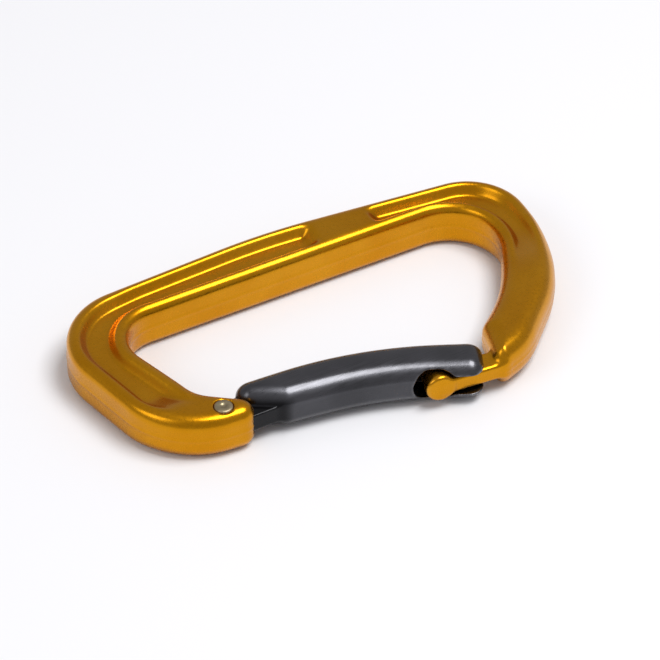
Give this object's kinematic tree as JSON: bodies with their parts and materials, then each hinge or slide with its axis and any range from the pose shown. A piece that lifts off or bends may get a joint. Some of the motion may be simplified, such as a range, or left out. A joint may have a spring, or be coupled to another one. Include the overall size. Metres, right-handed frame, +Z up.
{
  "type": "bent-gate carabiner",
  "caption": "Bent-gate keylock carabiner with a forged I-section body, a sprung bent gate on a rivet hinge and a round key nose.",
  "frame": {"origin": "middle of the carabiner's outline, on the surface it lies on", "axes": "+X towards the nose end, +Y towards the spine, +Z up through the thickness"},
  "size_m": [0.099, 0.0552, 0.01],
  "materials": {
    "gold_anodised": "satin gold anodised",
    "grey_anodised": "satin dark grey anodised",
    "rivet_steel": "satin stainless steel",
    "plunger_steel": "turned stainless steel",
    "spring_steel": "drawn spring steel"
  },
  "bodies": {
    "frame": {"body": "gold_anodised", "hinge_rivet": "rivet_steel"},
    "gate": {"gate": "grey_anodised", "return_spring": "spring_steel"},
    "plunger": {"plunger": "plunger_steel"}
  },
  "joints": [
    {"name": "gate_hinge", "type": "hinge", "parent": "frame", "child": "gate", "pos_m": [-0.0308, -0.01427, 0.005], "axis": [0, 0, 1], "range_deg": [0, 28], "stiffness_Nm_per_rad": 0.01, "springref_deg": -17.19},
    {"name": "plunger_slide", "type": "slide", "parent": "gate", "child": "plunger", "axis": [1, 0, 0], "range_m": [0, 0.0014], "deforming": ["return_spring"]}
  ],
  "couplings": [
    {"joint": "plunger_slide", "follows": "gate_hinge", "m_per_rad": 0.0026}
  ]
}
